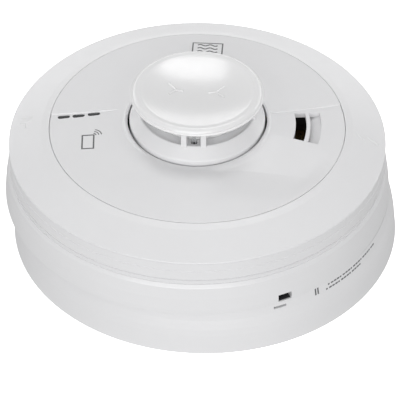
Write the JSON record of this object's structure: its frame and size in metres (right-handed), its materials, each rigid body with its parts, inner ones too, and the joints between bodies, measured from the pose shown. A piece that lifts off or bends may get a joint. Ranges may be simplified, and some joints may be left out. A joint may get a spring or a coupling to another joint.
{
  "type": "smoke detector",
  "caption": "Round white ceiling smoke alarm whose head slides on to a mounting plate, with a raised press-to-test cap over the smoke inlet.",
  "frame": {"origin": "middle of the mounting plate's ceiling face", "axes": "+Z out of the ceiling face through the button cap, +X the way the head slides home, towards the sounder slots"},
  "size_m": [0.1434, 0.141, 0.0621],
  "materials": {
    "white_plastic": "fine satin moulding texture",
    "grey_plastic": "satin",
    "black_plastic": "matt",
    "smoked_lens": "clear gloss",
    "lens": "clear gloss",
    "board": "solder resist",
    "coil_tape": "wound tape",
    "mesh": "woven wire",
    "brass": "bright",
    "steel": "zinc plated"
  },
  "bodies": {
    "plate": {"mounting_plate": "white_plastic", "terminal_block": "grey_plastic", "terminal_contacts": "brass", "terminal_screws": "steel", "cable_clamp": "grey_plastic", "cable_clamp_screws": "steel"},
    "terminal_flap": {"terminal_cover": "grey_plastic"},
    "head": {"rear_housing": "white_plastic", "plug_housing": "grey_plastic", "plug_pins": "brass", "circuit_board": "board", "board_screws": "steel", "mains_transformer": "coil_tape", "filter_capacitors": "coil_tape", "control_chips": "black_plastic", "backup_cells": "steel", "cell_clips": "brass", "status_leds": "lens", "light_pipe": "smoked_lens", "chamber_base": "black_plastic", "chamber_labyrinth": "black_plastic", "infrared_emitter": "smoked_lens", "photodiode": "smoked_lens", "heat_sensor": "grey_plastic", "sounder_horn": "black_plastic", "piezo_disc": "brass", "test_switch": "black_plastic", "front_cover": "white_plastic", "fascia": "white_plastic", "housing_screws": "steel"},
    "catch": {"release_catch": "black_plastic"},
    "button": {"button_guard": "white_plastic", "insect_screen": "mesh", "button_cap": "white_plastic"},
    "plunger": {"switch_plunger": "grey_plastic"}
  },
  "joints": [
    {"name": "head_slide", "type": "slide", "parent": "plate", "child": "head", "axis": [1, 0, 0], "range_m": [-0.012, 0.0027]},
    {"name": "terminal_cover_hinge", "type": "hinge", "parent": "plate", "child": "terminal_flap", "pos_m": [0.0219, 0, 0.01315], "axis": [0, 1, 0], "range_deg": [0, 8]},
    {"name": "catch_press", "type": "slide", "parent": "head", "child": "catch", "axis": [-0.4924, 0.8704, 0], "range_m": [0, 0.0018], "stiffness_N_per_m": 1500, "springref_m": -0.0004},
    {"name": "button_press", "type": "slide", "parent": "head", "child": "button", "axis": [0, 0, -1], "range_m": [0, 0.0012], "stiffness_N_per_m": 3000, "springref_m": -0.0005},
    {"name": "plunger_press", "type": "slide", "parent": "head", "child": "plunger", "axis": [0, 0, -1], "range_m": [0, 0.0003]}
  ],
  "couplings": [
    {"joint": "plunger_press", "follows": "button_press", "ratio": 0.25}
  ]
}
